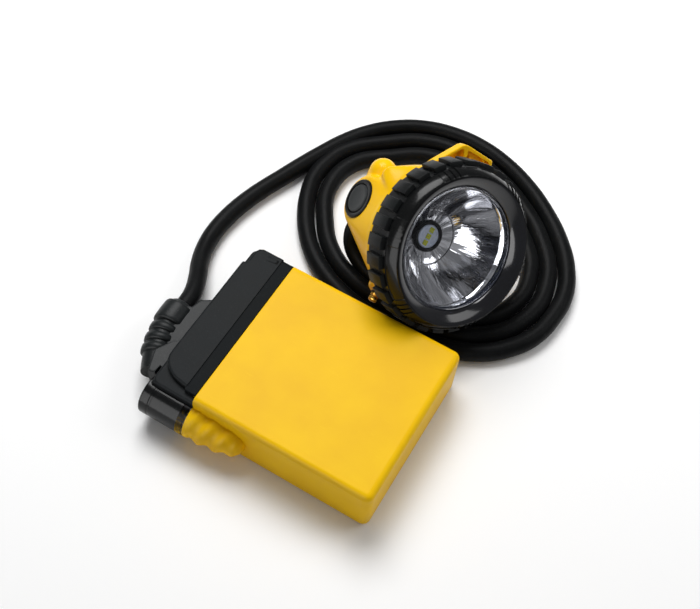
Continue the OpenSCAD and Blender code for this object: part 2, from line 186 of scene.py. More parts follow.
def moulded(name, deep, base, light, rough, grain, coat=0.0, dust=0.0, gloss=0.28):
    """Moulded plastic: slow colour drift, fine grain, faint rubs and dust."""
    made = Finish(name, Coat_Weight=coat, Coat_Roughness=0.12, Specular_IOR_Level=gloss)
    drift = made.place.noise(34, 3, 0.55)
    fine = made.place.noise(1500, 2, 0.6)
    rubs = made.place.stretched(1, 5, 2).noise(120, 5, 0.7).clamp(0.60, 0.78)
    colour = drift.clamp(0.35, 0.65).mix(deep, base)
    colour = (rubs * 0.5).mix(colour, light)
    if dust:
        specks = made.place.noise(2600, 1, 0.4).clamp(0.70, 0.78)
        colour = (specks * dust).mix(colour, linear(190, 190, 185))
    roughness = drift * 0.10 + fine * 0.06 + rubs * 0.08 + (rough - 0.08)
    waves = made.place.noise(60, 2, 0.5)
    height = fine * grain + waves * (grain * 6)
    return made.feed(Base_Color=colour, Roughness=roughness,
                     Normal=height.bump(0.0004, 0.35))


def make_finishes():
    made = {}
    made["case"] = moulded("case yellow", linear(236, 184, 0), linear(242, 193, 2),
                           linear(248, 204, 24), 0.38, 0.10, coat=0.02, gloss=0.08)
    made["head"] = moulded("head yellow", linear(236, 182, 0), linear(244, 192, 2),
                           linear(250, 206, 20), 0.30, 0.08, coat=0.06, gloss=0.12)
    made["lid"] = moulded("lid black", linear(18, 21, 22), linear(24, 27, 29),
                          linear(46, 51, 53), 0.48, 0.55, dust=0.08, gloss=0.08)
    made["strip"] = moulded("seam strip black", linear(17, 20, 21), linear(21, 24, 26),
                            linear(30, 33, 35), 0.56, 0.7, dust=0.05, gloss=0.05)
    made["bezel"] = moulded("bezel black", linear(7, 8, 9), linear(12, 13, 14),
                            linear(34, 37, 37), 0.24, 0.22, coat=0.22, dust=0.04, gloss=0.10)
    made["lip"] = moulded("bezel lip black", linear(7, 8, 13), linear(13, 15, 24),
                          linear(30, 34, 46), 0.14, 0.10, coat=0.6, dust=0.03)
    made["grip"] = moulded("grip black", linear(15, 17, 18), linear(21, 24, 25),
                           linear(48, 53, 53), 0.42, 0.5, dust=0.06, gloss=0.14)
    made["boot"] = moulded("boot rubber", linear(20, 23, 24), linear(27, 30, 31),
                           linear(54, 58, 58), 0.38, 0.5, dust=0.08, gloss=0.16)
    made["button"] = moulded("button rubber", linear(38, 40, 41), linear(46, 49, 50),
                             linear(66, 70, 70), 0.55, 0.5, dust=0.06)
    made["ring"] = moulded("switch ring black", linear(9, 10, 11), linear(14, 15, 16),
                           linear(40, 43, 43), 0.34, 0.25, coat=0.08, gloss=0.12)
    made["seal"] = moulded("seal rubber", linear(26, 27, 29), linear(32, 33, 35),
                           linear(52, 52, 54), 0.6, 0.5)
    made["cradle"] = moulded("cradle plastic", linear(205, 205, 198),
                             linear(216, 216, 210), linear(230, 230, 226), 0.45, 0.3)
    made["chip"] = moulded("chip black", linear(26, 27, 28), linear(34, 35, 36),
                           linear(60, 60, 62), 0.5, 0.6)
    made["wire"] = moulded("wire red", linear(150, 26, 20), linear(172, 34, 26),
                           linear(190, 70, 60), 0.4, 0.3)
    made["wrap"] = moulded("cell wrap", linear(50, 106, 150), linear(62, 122, 168),
                           linear(110, 160, 196), 0.28, 0.1, coat=0.3)
    made["cord"] = cord_rubber()
    made["chrome"] = mirror_coat()
    made["lens"] = clear_lens()
    made["rim"] = lens_edge()
    made["steel"] = metal("plated steel", linear(178, 178, 182), linear(205, 205, 208), 0.30)
    made["nickel"] = metal("nickel strip", linear(176, 172, 160), linear(204, 200, 190), 0.34)
    made["alu"] = metal("machined aluminium", linear(184, 186, 190),
                        linear(212, 214, 217), 0.36)
    made["brass"] = metal("turned brass", linear(176, 132, 52), linear(226, 186, 96), 0.24)
    made["board"] = board("green board", linear(16, 84, 46), linear(26, 110, 62))
    made["white board"] = board("white board", linear(206, 210, 210), linear(226, 229, 229))
    made["ceramic"] = ceramic()
    made["phosphor"] = phosphor()
    return made


def cord_rubber():
    """Smooth black rubber sheath: soft sheen, scuffs along it and fine dust."""
    made = Finish("cord rubber", Specular_IOR_Level=0.07, Sheen_Weight=0.01,
                  Sheen_Roughness=0.5)
    drift = made.place.noise(55, 4, 0.6)
    fine = made.place.noise(1800, 3, 0.6)
    scuff = made.place.noise(300, 6, 0.75).clamp(0.60, 0.74)
    patches = made.place.noise(26, 2, 0.5).clamp(0.52, 0.70)
    marks = scuff * patches
    colour = drift.clamp(0.35, 0.65).mix(linear(9, 10, 11), linear(16, 17, 18))
    colour = (marks * 0.5).mix(colour, linear(58, 60, 62))
    specks = made.place.noise(3200, 1, 0.3).clamp(0.72, 0.80)
    colour = (specks * 0.16).mix(colour, linear(150, 150, 148))
    roughness = drift * 0.16 + marks * 0.2 + fine * 0.08 + 0.30
    height = fine * 0.5 + scuff * 0.5 + drift * 1.5
    return made.feed(Base_Color=colour, Roughness=roughness,
                     Normal=height.bump(0.0003, 0.4))


def mirror_coat():
    """Bright metal film on moulded plastic; its colour holds painted reflections: dark and
    bright streaks outwards from the light, and one side painted brighter.
    """
    made = Finish("mirror coat", Metallic=1.0)
    centre = HEAD.translation * MM
    side, up = HEAD.col[0].to_3d(), HEAD.col[1].to_3d()
    from_axis = made.place.vector("SUBTRACT", tuple(centre))
    across = from_axis.vector("DOT_PRODUCT", tuple(side), out=1)
    along = from_axis.vector("DOT_PRODUCT", tuple(up), out=1)
    angle = across.math("ARCTAN2", along, across)
    reach = across.math("SQRT", across * across + along * along)
    round_it = made.place.node("ShaderNodeCombineXYZ", X=across.math("COSINE", angle),
                               Y=across.math("SINE", angle), Z=reach * 16 + 3.0)
    # broad and thin: streaks of painted reflection in the colour, which also shape the bump;
    # thin also varies the roughness
    broad = round_it.noise(1.5, 2, 0.5).clamp(0.46, 0.56)
    thin = round_it.noise(6, 3, 0.6).clamp(0.44, 0.60)
    film = made.place.noise(900, 3, 0.6)
    # painted reflection: the wall on the side away from the switch is painted brighter
    painted_bright_side = (across.math("COSINE", angle) * -1).clamp(0.1, 0.9)
    # the streaks and the bright side together make the painted reflection that colours the
    # film
    painted_reflection = (broad * 0.55 + thin * 0.3 + painted_bright_side * 0.5).clamp(0.0, 1.0)
    colour = painted_reflection.mix(linear(40, 42, 50), linear(252, 252, 253))
    roughness = film * 0.04 + thin * 0.04 + 0.03
    return made.feed(Base_Color=colour, Roughness=roughness,
                     Normal=(broad * 0.7 + thin * 0.3).bump(0.0008, 0.2))


def clear_lens():
    """Clear polycarbonate: see-through face-on, glossy at a slant."""
    made = Finish("clear lens")
    tree = made.tree
    clear = tree.nodes.new("ShaderNodeBsdfTransparent")
    clear.inputs["Color"].default_value = (0.98, 0.985, 1.0, 1)
    shader = made.shader
    shader.inputs["Base Color"].default_value = (0.8, 0.83, 0.9, 1)
    shader.inputs["Metallic"].default_value = 1.0
    haze = made.place.noise(200, 4, 0.6).clamp(0.4, 0.8)
    made.feed(Roughness=haze * 0.05 + 0.02)
    edge = made.place.node("ShaderNodeLayerWeight", out=0, Blend=0.12)
    amount = edge * 0.30 + haze * 0.01 + 0.01
    blend = tree.nodes.new("ShaderNodeMixShader")
    tree.links.new(amount.socket, blend.inputs[0])
    tree.links.new(clear.outputs[0], blend.inputs[1])
    tree.links.new(shader.outputs[0], blend.inputs[2])
    out = tree.nodes["Material Output"]
    tree.links.new(blend.outputs[0], out.inputs["Surface"])
    return made.material


def lens_edge():
    """The lens's thick clear rim over black: dark, blue-grey and very glossy."""
    made = Finish("lens rim", Specular_IOR_Level=0.9, Coat_Weight=1.0, Coat_Roughness=0.04)
    drift = made.place.noise(160, 4, 0.6)
    colour = drift.clamp(0.35, 0.7).mix(linear(26, 29, 38), linear(54, 60, 78))
    return made.feed(Base_Color=colour, Roughness=drift * 0.10 + 0.12,
                     Normal=drift.bump(0.0003, 0.2))


def metal(name, dark, bright, rough):
    """Bare or plated metal with fine turning marks and slow spots."""
    made = Finish(name, Metallic=1.0)
    turned = made.place.stretched(1, 1, 9).noise(700, 4, 0.65)
    spots = made.place.noise(160, 3, 0.6)
    colour = spots.clamp(0.3, 0.7).mix(dark, bright)
    roughness = turned * 0.18 + spots * 0.08 + (rough - 0.12)
    return made.feed(Base_Color=colour, Roughness=roughness,
                     Normal=turned.bump(0.0001, 0.4))


def board(name, dark, bright):
    """Solder mask over copper tracks."""
    made = Finish(name, Specular_IOR_Level=0.6)
    tracks = made.place.node("ShaderNodeTexVoronoi", {"feature": "DISTANCE_TO_EDGE"},
                             Vector=made.place, Scale=420.0).clamp(0.02, 0.09)
    fine = made.place.noise(900, 2, 0.5)
    colour = tracks.mix(dark, bright)
    return made.feed(Base_Color=colour, Roughness=fine * 0.2 + 0.3,
                     Normal=tracks.bump(0.0001, 0.5))


def ceramic():
    """Pale ceramic under the light source."""
    made = Finish("lamp ceramic", Specular_IOR_Level=0.6)
    fine = made.place.noise(900, 3, 0.5)
    colour = fine.clamp(0.3, 0.7).mix(linear(196, 206, 226), linear(222, 229, 242))
    return made.feed(Base_Color=colour, Roughness=fine * 0.2 + 0.3,
                     Normal=fine.bump(0.00005, 0.3))


def phosphor():
    """Yellow coat on the light source's dies."""
    made = Finish("lamp phosphor", Specular_IOR_Level=0.5)
    fine = made.place.noise(2600, 3, 0.6)
    colour = fine.clamp(0.3, 0.7).mix(linear(170, 176, 40), linear(226, 228, 78))
    return made.feed(Base_Color=colour, Roughness=fine * 0.3 + 0.45,
                     Normal=fine.bump(0.00008, 0.5))


# ---- shaping ---------------------------------------------------------------

def keep(bm, name, finish, replaces=(), place=HERE, body="lamp", sharp=35,
         extra=()):
    """Turns a shape in millimetres into a finished piece of the lamp."""
    flats = [f for f in bm.faces if f.calc_area() > BIG_FACE]
    if flats:
        bmesh.ops.inset_individual(bm, faces=flats, thickness=BORDER, depth=0,
                                   use_even_offset=True)
    bmesh.ops.transform(bm, matrix=Matrix.Scale(MM, 4) @ place, verts=bm.verts)
    mesh = bpy.data.meshes.new(name)
    bm.to_mesh(mesh)
    bm.free()
    mesh.shade_smooth()
    mesh.set_sharp_from_angle(angle=math.radians(sharp))
    for one in (finish, *extra):
        mesh.materials.append(FINISHES[one])
    piece = bpy.data.objects.new(name, mesh)
    bpy.context.collection.objects.link(piece)
    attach(piece, body)
    if replaces:
        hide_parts(*replaces)


def clean(bm):
    """Merges points that meet and turns every face outwards."""
    bmesh.ops.remove_doubles(bm, verts=bm.verts, dist=WELD)
    bmesh.ops.recalc_face_normals(bm, faces=bm.faces)


def add(bm, other, place=HERE):
    """Adds a second shape, moved to its place, and frees it."""
    bmesh.ops.transform(other, matrix=place, verts=other.verts)
    mesh = bpy.data.meshes.new("part")
    other.to_mesh(mesh)
    other.free()
    bm.from_mesh(mesh)
    bpy.data.meshes.remove(mesh)


def turned(profile, steps=96, closed=False):
    """A shape turned about Z from (radius, height) points."""
    bm = bmesh.new()
    dots = [bm.verts.new((r, 0, z)) for r, z in profile]
    lines = [bm.edges.new(pair) for pair in zip(dots, dots[1:])]
    if closed:
        lines.append(bm.edges.new((dots[-1], dots[0])))
    bmesh.ops.spin(bm, geom=dots + lines, axis=(0, 0, 1), cent=(0, 0, 0), steps=steps,
                   angle=math.tau, use_merge=True)
    clean(bm)
    return bm


def arc(centre_r, centre_z, radius, start, end, count=6):
    """Points of a rounded corner, angles in degrees."""
    steps = [start + (end - start) * i / count for i in range(count + 1)]
    return [(centre_r + radius * math.cos(math.radians(a)),
             centre_z + radius * math.sin(math.radians(a))) for a in steps]


def bevelled(bm, edges, radius, segments):
    bmesh.ops.bevel(bm, geom=edges, offset=radius, segments=segments, profile=0.5,
                    affect="EDGES", material=-1, clamp_overlap=True)


def block(low, high, round_by=0.0, segments=3):
    """A box between two corners, with all its edges rolled where round_by is given."""
    bm = bmesh.new()
    bmesh.ops.create_cube(bm, size=1)
    size = Vector(high) - Vector(low)
    middle = (Vector(high) + Vector(low)) / 2
    bmesh.ops.scale(bm, vec=size, verts=bm.verts)
    bmesh.ops.translate(bm, vec=middle, verts=bm.verts)
    if round_by:
        bevelled(bm, bm.edges[:], round_by, segments)
    bmesh.ops.recalc_face_normals(bm, faces=bm.faces)
    return bm


def plate(outline, low, high, round_by=0.0, segments=3):
    """A flat plate with the given outline in XY; round_by rolls both its rims."""
    bm = bmesh.new()
    face = bm.faces.new([bm.verts.new((x, y, low)) for x, y in outline])
    grown = bmesh.ops.extrude_face_region(bm, geom=[face])["geom"]
    top = [v for v in grown if isinstance(v, bmesh.types.BMVert)]
    bmesh.ops.translate(bm, vec=(0, 0, high - low), verts=top)
    bmesh.ops.recalc_face_normals(bm, faces=bm.faces)
    if round_by:
        edges = [e for e in bm.edges
                 if any(all(abs(v.co.z - level) < WELD for v in e.verts)
                        for level in (low, high))]
        bevelled(bm, edges, round_by, segments)
    clean(bm)
    return bm


def towards(start, end):
    """Places a shape that stands on Z so that it runs from start to end."""
    way = Vector(end) - Vector(start)
    return Matrix.Translation(Vector(start)) @ way.to_track_quat("Z", "Y").to_matrix().to_4x4()


def stem(start, end, r1, r2, steps=48, cap=0.0):
    """A closed round bar between two points, its ends rolled by cap."""
    length = (Vector(end) - Vector(start)).length
    if cap:
        profile = [(0, 0), *arc(r1 - cap, cap, cap, -90, 0, 4),
                   *arc(r2 - cap, length - cap, cap, 0, 90, 4), (0, length)]
    else:
        profile = [(0, 0), (r1, 0), (r2, length), (0, length)]
    bm = turned(profile, steps)
    bmesh.ops.transform(bm, matrix=towards(start, end), verts=bm.verts)
    return bm


def swept(stations, sides):
    """A closed tube through (place, direction, radius) stations."""
    bm = bmesh.new()
    rings = []
    for place, way, radius in stations:
        turn = Vector(way).to_track_quat("Z", "Y").to_matrix().to_4x4()
        made = bmesh.ops.create_circle(bm, segments=sides, radius=radius,
                                       matrix=Matrix.Translation(place) @ turn)
        rings.append(made["verts"])
    for near, far in zip(rings, rings[1:]):
        loops = [e for e in bm.edges
                 if all(v in near for v in e.verts) or all(v in far for v in e.verts)]
        bmesh.ops.bridge_loops(bm, edges=loops)
    for ring in (rings[0], rings[-1]):
        bmesh.ops.contextual_create(bm, geom=ring)
    clean(bm)
    return bm


def baked(bm, *stages):
    """Runs modifiers, given as (type, settings), on a shape and returns the result."""
    mesh = bpy.data.meshes.new("draft")
    bm.to_mesh(mesh)
    bm.free()
    draft = bpy.data.objects.new("draft", mesh)
    bpy.context.collection.objects.link(draft)
    for kind, settings in stages:
        stage = draft.modifiers.new(kind.lower(), kind)
        for key, value in settings.items():
            setattr(stage, key, value)
    bpy.context.view_layer.update()
    ready = draft.evaluated_get(bpy.context.evaluated_depsgraph_get())
    result = bmesh.new()
    result.from_mesh(ready.to_mesh())
    ready.to_mesh_clear()
    bpy.data.objects.remove(draft)
    bpy.data.meshes.remove(mesh)
    return result


def carved(bm, *tools):
    """Cuts closed shapes out of a closed shape."""
    parts = []
    for tool in tools:
        mesh = bpy.data.meshes.new("tool")
        tool.to_mesh(mesh)
        tool.free()
        cutter = bpy.data.objects.new("tool", mesh)
        bpy.context.collection.objects.link(cutter)
        parts.append(cutter)
    bm = baked(bm, *[("BOOLEAN", {"operation": "DIFFERENCE", "solver": "EXACT",
                                  "object": cutter}) for cutter in parts])
    for cutter in parts:
        bpy.data.meshes.remove(cutter.data)
    return bm


def roll(bm, radius, picks, segments=4):
    """Rolls the edges whose two ends picks(a, b) accepts."""
    edges = [e for e in bm.edges if picks(e.verts[0].co, e.verts[1].co)]
    bevelled(bm, edges, radius, segments)


def hull(points):
    """The tightest closed skin round some points."""
    bm = bmesh.new()
    for point in points:
        bm.verts.new(point)
    made = bmesh.ops.convex_hull(bm, input=bm.verts)
    inner = dict.fromkeys(made["geom_unused"] + made["geom_interior"])
    bmesh.ops.delete(bm, geom=list(inner), context="VERTS")
    bmesh.ops.recalc_face_normals(bm, faces=bm.faces)
    return bm


def ring_points(centre, way, radius, count=32):
    """Points on a circle that faces along way."""
    turn = Vector(way).to_track_quat("Z", "Y").to_matrix()
    angles = [math.radians(360 * i / count) for i in range(count + 1)]
    return [Vector(centre) + turn @ Vector((radius * math.cos(a), radius * math.sin(a), 0))
            for a in angles]


# ---- battery pack ----------------------------------------------------------

def make_case():
    bm = block((SEAM, -HALF_WIDTH, 0), (55, HALF_WIDTH, 29.2))
    roll(bm, 3.6, lambda a, b: min(a.x, b.x) > 54.9 and abs(a.z - b.z) > 1, 6)
    roll(bm, 2.8, lambda a, b: abs(a.z - b.z) < 0.1 and max(a.x, b.x) > SEAM + 0.1, 6)
    roll(bm, 0.35, lambda a, b: max(a.x, b.x) < SEAM + 0.01, 2)
    clean(bm)
    keep(bm, "case_shell", "case", ["battery_case"], sharp=50)
    make_case_boss()


TWIST_PITCH = 8.2
TWIST_STARTS = 2


def make_case_boss():
    """The tapered boss that takes the lock screw, with its cast-in twist."""
    outline = [(0, -4), (9.5, -4), (9.5, 0), (9.3, 6), (8.8, 12), (8.2, 17), (7.4, 21),
               (6.2, 24), (4.3, 25.9), (2.1, 26.7), (0, 26.8)]
    profile = []
    for (r1, z1), (r2, z2) in zip(outline, outline[1:]):
        count = max(1, round(abs(z2 - z1) / 0.7))
        profile += [(r1 + (r2 - r1) * i / count, z1 + (z2 - z1) * i / count)
                    for i in range(count)]
    profile.append(outline[-1])
    bm = turned(profile, 96)
    for v in bm.verts:
        radius = math.hypot(v.co.x, v.co.y)
        if radius < 1 or v.co.z < 0.5:
            continue
        turn = v.co.z / TWIST_PITCH + math.atan2(v.co.y, v.co.x) / math.tau * TWIST_STARTS
        ridge = 0.5 + 0.5 * math.cos(math.tau * turn)
        fade = min(1, v.co.z / 3) * min(1, (26.6 - v.co.z) / 6)
        grow = 1 + (1.25 * ridge - 0.75) * fade / radius
        v.co.x *= grow
        v.co.y *= grow
    place = towards((SEAM, LOCK_Y, LOCK_Z), (SEAM + 1, LOCK_Y, LOCK_Z))
    keep(bm, "case_boss", "case", place=place, sharp=60)


def make_lid():
    body = block((-55, -HALF_WIDTH, 0), (SEAM - 0.05, HALF_WIDTH, 26.2))
    roll(body, 3.6, lambda a, b: max(a.x, b.x) < -54.9 and abs(a.z - b.z) > 1, 6)
    roll(body, 2.8, lambda a, b: max(a.z, b.z) < 0.1 and min(a.x, b.x) < SEAM - 0.2, 6)
    roll(body, 0.9, lambda a, b: min(a.z, b.z) > 26.1 and min(a.x, b.x) < SEAM - 0.2, 3)
    clean(body)
    keep(body, "lid_body", "lid", ["battery_lid"], sharp=50)
    outline = [(-39.3, -37.3), (-43.5, -36.7), (-47.3, -35.7), (-50.2, -34.2),
               (-52.4, -32.4), (-54, -30.2), (-54.8, -28), (-55, -25), (-55, 30.4),
               (-54.6, 31), (-53.2, 31.6), (-53, 32.4), (-53, 38.4), (-52.1, 40.6),
               (-50, HALF_WIDTH), (-39.3, HALF_WIDTH)]
    top = plate(outline, 22.5, 29.2)
    roll(top, 1.5, lambda a, b: min(a.z, b.z) > 29.1 and min(a.x, b.x) < -39.4, 5)
    clean(top)
    keep(top, "lid_plate", "lid", sharp=40)
    strip = block((-39.4, -38.4, 22.5), (SEAM - 0.35, HALF_WIDTH, 28.7))
    roll(strip, 2.4, lambda a, b: min(a.z, b.z) > 28.6 and min(a.y, b.y) > 41, 5)
    roll(strip, 0.5, lambda a, b: min(a.z, b.z) > 28.6 and max(a.y, b.y) < 38.9
         or min(a.z, b.z) > 28.6 and abs(a.y - b.y) > 5, 3)
    clean(strip)
    keep(strip, "lid_seam_strip", "strip", sharp=40)
    ramp = hull([(-47, 39.5, 29.1), (-47, 36, 29.1), (-40, 39.5, 29.1), (-40, 37.2, 29.1),
                 (-41, 39.2, 29.7), (-41, 37.6, 29.7)])
    roll(ramp, 0.15, lambda a, b: True, 2)
    keep(ramp, "lid_wedge", "lid", sharp=30)
    make_lid_boss()


def make_lid_boss():
    profile = [(0, 6), (4.6, 6), *arc(4.6, 5.6, 0.4, 90, 0, 3), (5, 1.0), (5.4, 0.5),
               (6.2, 0.2), (7.6, 0.2), (8.4, 0), *arc(8.6, 0.9, 0.9, -90, 0, 5),
               (9.5, 4.4), (9.2, 4.7), (9.2, 5.5), (9.5, 5.8), (9.5, 23.6), (9.2, 23.8),
               (0, 23.8)]
    bm = turned(profile, 96)
    place = towards((-57, LOCK_Y, LOCK_Z), (-56, LOCK_Y, LOCK_Z))
    keep(bm, "lid_boss", "bezel", place=place, sharp=30)
    web = block((-55, LOCK_Y, 6), (SEAM - 0.1, -36, 25.4))
    roll(web, 1.2, lambda a, b: min(a.z, b.z) > 25 and max(a.x, b.x) < SEAM + 1, 3)
    keep(web, "lid_boss_web", "lid", sharp=40)


def boot_at(angle):
    """A place on the boot's bend and the way the cord runs there."""
    a = math.radians(angle)
    return (Vector((-18 - BOOT_BEND * math.cos(a), -3 - BOOT_BEND * math.sin(a), 13)),
            Vector((-math.sin(a), math.cos(a), 0)))


def make_boot():
    """The ribbed sleeve, its collar and lip, and the web and wedge beside it."""
    stations = []
    turns = [(34, 6.4), (30, 6.4), (25.8, 6.4)]
    for start in (25, 19, 13):
        turns += [(start + 0.25, 6.5), (start, 7.2), (start - 0.5, 7.65),
                  (start - 2, 7.75), (start - 3.5, 7.65), (start - 4, 7.2),
                  (start - 4.25, 6.5)]
    turns += [(8, 6.4), (7.4, 6.5), (7.1, 7.6), (6.6, 8.1), (5.5, 8.25), (3, 8.25),
              (0.4, 8.25)]
    for angle, radius in turns:
        place, way = boot_at(angle)
        stations.append((place, way, radius))
    for y, radius in ((-1, 8.25), (0.2, 8.2), (0.8, 7.9), (1.05, 7.3), (1.1, 7.0),
                      (2.4, 6.3), (2.9, 5.8), (3, 5.2)):
        stations.append((Vector((-70, y, 13)), Vector((0, 1, 0)), radius))
    bm = swept(stations, 56)
    keep(bm, "boot_sleeve", "boot", ["battery_boot"], sharp=45)
    web = plate([(-54.5, -31), (-60, -28), (-66, -14), (-68, -4), (-68, 2.2),
                 (-64.8, 2.9), (-63.6, 8), (-61, 9.6), (-54.5, 14)],
                4.2, 18.6, 1.1, 4)
    keep(web, "boot_web", "boot", sharp=45)
    wedge = plate([(-54.5, -31.8), (-57.3, -31.8), (-57.6, -35.6), (-60.8, -36.6),
                   (-64.5, -26), (-60, -18), (-54.5, -15)], 4.2, 21.8, 0.6)
    keep(wedge, "boot_wedge", "boot", sharp=30)


# ---- headpiece -------------------------------------------------------------

def make_head_boot():
    profile = [(0, 0), (4.9, 0), (4.9, 8), (6.1, 8.1), (6.5, 8.5), (6.5, 10.4),
               (6.2, 10.9), (5.95, 11.1), (5.8, 12.2), (6.0, 12.4), (6.0, 13.6),
               (5.6, 13.8), (5.5, 14.9), (5.7, 15.1), (5.65, 16.2), (5.3, 16.4),
               (5.25, 17.4), (5.0, 17.9), (4.6, 18), (0, 18)]
    bm = turned(profile, 72)
    place = HEAD @ towards(INLET_END - 18 * INLET, INLET_END)
    keep(bm, "head_boot_sleeve", "boot", ["head_boot"], place=place,
         sharp=40)


BODY_GRAIN = 0.0007


def make_body():
    """The bowl with its switch boss, knob, inlet tube, shoulder, lug and screw bosses."""
    shell = turned([(0, -53.6), (5, -53.3), (11.5, -51.5), (17, -47.5), (21.4, -42),
                    (25.2, -36.5), (28.6, -31.5), (31.5, -27), (34.6, -22.5),
                    (37.2, -19), (37.2, -16.2), (34.4, -16.2), (34.4, -6.6), (31, -6.6),
                    (31, -18), (29.2, -24.5), (26.2, -29.5), (22.8, -34.5), (19, -40),
                    (15.2, -44.8), (10.8, -48.6), (5, -50.6), (0, -50.8)], 144)
    face = SWITCH - Vector((0.2, 0, 0))
    boss = ring_points(face, (1, 0, 0), 11.2) + \
        ring_points(face - Vector((1.1, 0, 0)), (1, 0, 0), 12.3) + \
        ring_points(face - Vector((12, 0, 0)), (1, 0, 0), 13)
    add(shell, hull(boss + skirt_arc(36.9, -17, -22, 66) + skirt_arc(36.2, -20.5, -22, 66)))
    ball = bmesh.new()
    bmesh.ops.create_uvsphere(ball, u_segments=32, v_segments=20, radius=6.6,
                              matrix=Matrix.Translation(KNOB))
    add(shell, ball)
    add(shell, stem((14, -8, -38), KNOB, 11.5, 6.4))
    shoulder = [Vector(p) for p in ((37.2, -17, -28), (36.2, -20.6, -27),
                                    (32.4, -22.4, -26), (28.4, -24.6, -25),
                                    (24.2, -26.8, -25), (30, -15, -38),
                                    (25, -19, -36), (18, -20, -34))]
    add(shell, hull(shoulder + skirt_arc(36.6, -17, -52, -15)
                    + skirt_arc(36.2, -20.5, -52, -15)))
    add(shell, stem(KNOB, INLET_END - 10 * INLET, 6.5, 6.5, cap=0.5))
    add(shell, hull(ring_points((10, 22, -26), (5.5, 11, 3), 7.5)
                    + ring_points((15.5, 33, -23), (5.5, 11, 3), 4.7)
                    + ring_points((15.1, 32.2, -23.2), (5.5, 11, 3), 5.2)))
    for x in HOOK_SCREWS:
        add(shell, stem((x, -26, -26), (x, -33.4, -26), 5, 5))
    bmesh.ops.scale(shell, vec=(MM, MM, MM), verts=shell.verts)
    # one skin over all the shapes, with soft blends where they meet
    shell = baked(shell, ("REMESH", {"mode": "VOXEL", "voxel_size": BODY_GRAIN}),
                  ("SMOOTH", {"factor": 0.6, "iterations": 14}))
    bmesh.ops.scale(shell, vec=(1 / MM, 1 / MM, 1 / MM), verts=shell.verts)
    shell = carved(shell, stem((10, -2, -37.3), (38, -2, -37.3), 7.2, 7.2),
                   stem((33.3, -2, -37.3), (38, -2, -37.3), 9.45, 9.45, 96))
    keep(shell, "head_body", "head", ["lamp_body"], place=HEAD, sharp=50)


def skirt_arc(radius, height, start, end, count=20):
    """Points along the bowl's rim, angles in degrees."""
    angles = [math.radians(start + (end - start) * i / count) for i in range(count + 1)]
    return [Vector((radius * math.cos(a), radius * math.sin(a), height)) for a in angles]


BEZEL = [(28.2, -0.6), (28.2, 0.1), (28.6, 0.7), (30, 1.9), (31.2, 2.75), (32.4, 3.45),
         (33.4, 3.9), (34.2, 4.1), (34.9, 3.95), (35.5, 3.5), (36.4, 2.3), (37.2, 0.9),
         (37.7, -0.4), (38, -1.6), (38.1, -2.8), (38.15, -13.4), (38.1, -15.2),
         (37.6, -16), (34.6, -16), (34.6, -6.2), (30.8, -6.2), (30.8, -0.6)]
GRIPS = 28
STEPS_PER_GRIP = 6
GRIP_STEPS = 4
BEZEL_STEPS = GRIPS * STEPS_PER_GRIP
RIB_SECTOR = 28
RIB_STEPS = (1, 3, 5)


def step_of(co):
    """Which step of the turned bezel a place lies in."""
    return int((math.atan2(co.y, co.x) / math.tau % 1) * BEZEL_STEPS)


def make_bezel():
    """The turned ring with its grips, front ribs and the shallow panels between them."""
    bm = turned(BEZEL, BEZEL_STEPS, closed=True)
    grips = []
    ribs = []
    panels = {}
    # sort the outer wall's faces into grips, and the front's into ribs and panels
    for face in bm.faces:
        middle = face.calc_center_median()
        radius = math.hypot(middle.x, middle.y)
        step = step_of(middle)
        if radius > 38 and -13 < middle.z < -3 and step % STEPS_PER_GRIP < GRIP_STEPS:
            grips.append(face)
        elif 34.9 < radius < 38.08 and -2.2 < middle.z < 3.9:
            spot = step % RIB_SECTOR
            if spot in RIB_STEPS:
                ribs.append(face)
            elif 8 <= spot <= 26:
                panels.setdefault(step // RIB_SECTOR, []).append(face)
    for sector in panels.values():
        bmesh.ops.inset_region(bm, faces=sector, thickness=0.35, depth=-0.35,
                               use_even_offset=True)
    raise_faces(bm, ribs, 0.0, 0.45)
    tops = raise_faces(bm, grips, 2.15, 0.0)
    edges = {e for f in tops for e in f.edges
             if sum(other in tops for other in e.link_faces) == 1}
    sides = {e for f in tops for v in f.verts for e in v.link_edges
             if e.calc_face_angle(0) > 0.9}
    bevelled(bm, list(edges | sides), 0.45, 2)
    clean(bm)
    # the grips are duller and the lip is glossier than the rest
    for face in bm.faces:
        middle = face.calc_center_median()
        radius = math.hypot(middle.x, middle.y)
        if radius > 37.9 and middle.z < -2.6:
            face.material_index = 1
        elif radius < 34.5 and middle.z > -0.7:
            face.material_index = 2
    keep(bm, "bezel", "bezel", ["bezel_ring"], place=HEAD, sharp=30,
         extra=("grip", "lip"))


def raise_faces(bm, faces, out, up):
    """Pulls faces outwards from the lens axis and forwards; returns them."""
    grown = bmesh.ops.extrude_face_region(bm, geom=faces)["geom"]
    bmesh.ops.delete(bm, geom=faces, context="FACES_ONLY")
    for v in grown:
        if isinstance(v, bmesh.types.BMVert):
            away = Vector((v.co.x, v.co.y, 0)).normalized()
            v.co += away * (out + up * 0.6) + Vector((0, 0, up))
    return {f for f in grown if isinstance(f, bmesh.types.BMFace)}


def make_lens():
    disc = turned([(0, -1.0), (27.5, -1.0), (27.5, -3.4), (0, -3.4)], 128)
    keep(disc, "lens_window", "lens", ["lens"], place=HEAD, sharp=20)
    edge = turned([(27.5, -3.4), (27.5, -1.05), (27.65, -0.6), (27.9, -0.45),
                   (28.18, -0.6), (28.18, -3.4)], 128, closed=True)
    keep(edge, "lens_rim", "rim", place=HEAD, sharp=40)


BOWL_FLOOR = -26.2
BOWL_DEPTH = 21
BOWL_STEP_R = 13


def bowl(z):
    """The mirror bowl's inner radius at a height."""
    return 6.2 + 21.4 * math.sqrt((z - BOWL_FLOOR) / BOWL_DEPTH)


